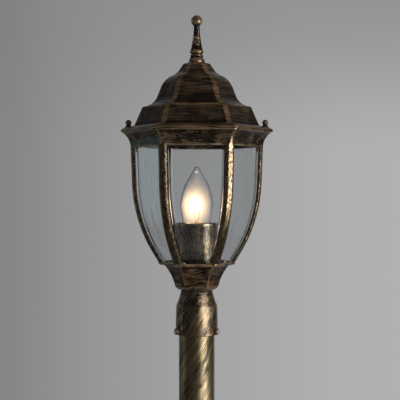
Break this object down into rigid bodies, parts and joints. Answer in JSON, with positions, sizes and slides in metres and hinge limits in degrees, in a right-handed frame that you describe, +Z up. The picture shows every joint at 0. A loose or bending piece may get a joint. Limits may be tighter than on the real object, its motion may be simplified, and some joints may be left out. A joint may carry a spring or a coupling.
{
  "type": "lantern floor lamp",
  "caption": "Six-sided antique post lantern with a bell roof, ball finial and glazed tapered cage on a round pole and cast base, with a candle bulb.",
  "frame": {"origin": "centre of the round base on the floor", "axes": "+Z up along the pole; two flat lantern faces look along -Y and +Y, two corners lie on X; the cable inlet is at +Y"},
  "size_m": [0.21, 0.21, 1.1801],
  "materials": {
    "cast_bronze": "black-brown paint, dry-brushed with antique gold",
    "cast_base": "black-brown paint, dry-brushed with antique gold",
    "cast_light": "black-brown paint, dry-brushed with antique gold",
    "glass_clear": "clear, flat, bevel-free lantern glass",
    "bulb_clear": "clear thin bulb glass",
    "filament_glow": "glowing filament",
    "thin_wire": "bright wire",
    "brass_contact": "bright brass",
    "nickel_cap": "nickel-plated",
    "black_insulator": "black vitrite",
    "holder_white": "off-white moulded",
    "zinc_steel": "zinc-plated",
    "dark_rubber": "matt black",
    "lead_sheath": "black sheath",
    "terminal_cream": "cream moulded",
    "screw_bronze": "dark antique brass"
  },
  "bodies": {
    "stand": {"base_casting": "cast_base", "base_gasket": "dark_rubber", "bottom_cover": "zinc_steel", "cover_screws": "zinc_steel", "cable_grommet": "dark_rubber", "earth_screw": "brass_contact", "terminal_block": "terminal_cream", "terminal_contacts": "brass_contact", "pole": "cast_bronze", "pole_lock_screws": "screw_bronze", "lead_lower": "lead_sheath"},
    "head": {"lead_upper": "lead_sheath", "fitter": "cast_light", "neck_gasket": "dark_rubber", "nipple": "zinc_steel", "fitter_nut": "zinc_steel", "cup_washer": "zinc_steel", "cup_nut": "zinc_steel", "holder_collar": "zinc_steel", "cup": "cast_light", "cup_screws": "zinc_steel", "cage": "cast_light", "glass_clips": "zinc_steel", "clip_screws": "zinc_steel", "candle_sleeve": "cast_bronze", "lampholder_body": "holder_white", "lampholder_shell": "brass_contact", "centre_contact": "brass_contact", "glass_panel_1": "glass_clear", "glass_panel_2": "glass_clear", "glass_panel_3": "glass_clear", "glass_panel_4": "glass_clear", "glass_panel_5": "glass_clear", "glass_panel_6": "glass_clear"},
    "roof": {"roof": "cast_light", "finial": "cast_light", "finial_stud": "zinc_steel", "finial_washer": "zinc_steel", "finial_nut": "zinc_steel"},
    "left_ball_screw": {"ball_screw_left": "screw_bronze"},
    "right_ball_screw": {"ball_screw_right": "screw_bronze"},
    "bulb": {"bulb_cap": "nickel_cap", "bulb_insulator": "black_insulator", "bulb_button": "nickel_cap", "bulb_glass": "bulb_clear", "bulb_stem": "bulb_clear", "bulb_filament": "filament_glow", "bulb_wires": "thin_wire"},
    "left_fitter_screw": {"fitter_screw_left": "screw_bronze"},
    "right_fitter_screw": {"fitter_screw_right": "screw_bronze"},
    "rear_fitter_screw": {"fitter_screw_rear": "screw_bronze"}
  },
  "joints": [
    {"name": "head_swivel", "type": "hinge", "parent": "stand", "child": "head", "pos_m": [0, 0, 0.866], "axis": [0, 0, 1], "range_deg": [-180, 180]},
    {"name": "roof_lift", "type": "slide", "parent": "head", "child": "roof", "axis": [0, 0, 1], "range_m": [0, 0.12]},
    {"name": "left_ball_screw_turn", "type": "hinge", "parent": "roof", "child": "left_ball_screw", "pos_m": [-0.0727, 0, 1.0558], "axis": [0, 0, 1], "continuous": true},
    {"name": "right_ball_screw_turn", "type": "hinge", "parent": "roof", "child": "right_ball_screw", "pos_m": [0.0727, 0, 1.0558], "axis": [0, 0, 1], "continuous": true},
    {"name": "bulb_lift", "type": "slide", "parent": "head", "child": "bulb", "axis": [0, 0, 1], "range_m": [0, 0.045]},
    {"name": "left_fitter_screw_turn", "type": "hinge", "parent": "head", "child": "left_fitter_screw", "pos_m": [-0.01957, -0.0113, 0.8452], "axis": [-0.866, -0.5, 0], "continuous": true},
    {"name": "right_fitter_screw_turn", "type": "hinge", "parent": "head", "child": "right_fitter_screw", "pos_m": [0.01957, -0.0113, 0.8452], "axis": [0.866, -0.5, 0], "continuous": true},
    {"name": "rear_fitter_screw_turn", "type": "hinge", "parent": "head", "child": "rear_fitter_screw", "pos_m": [0, 0.0226, 0.8452], "axis": [0, 1, 0], "continuous": true}
  ]
}
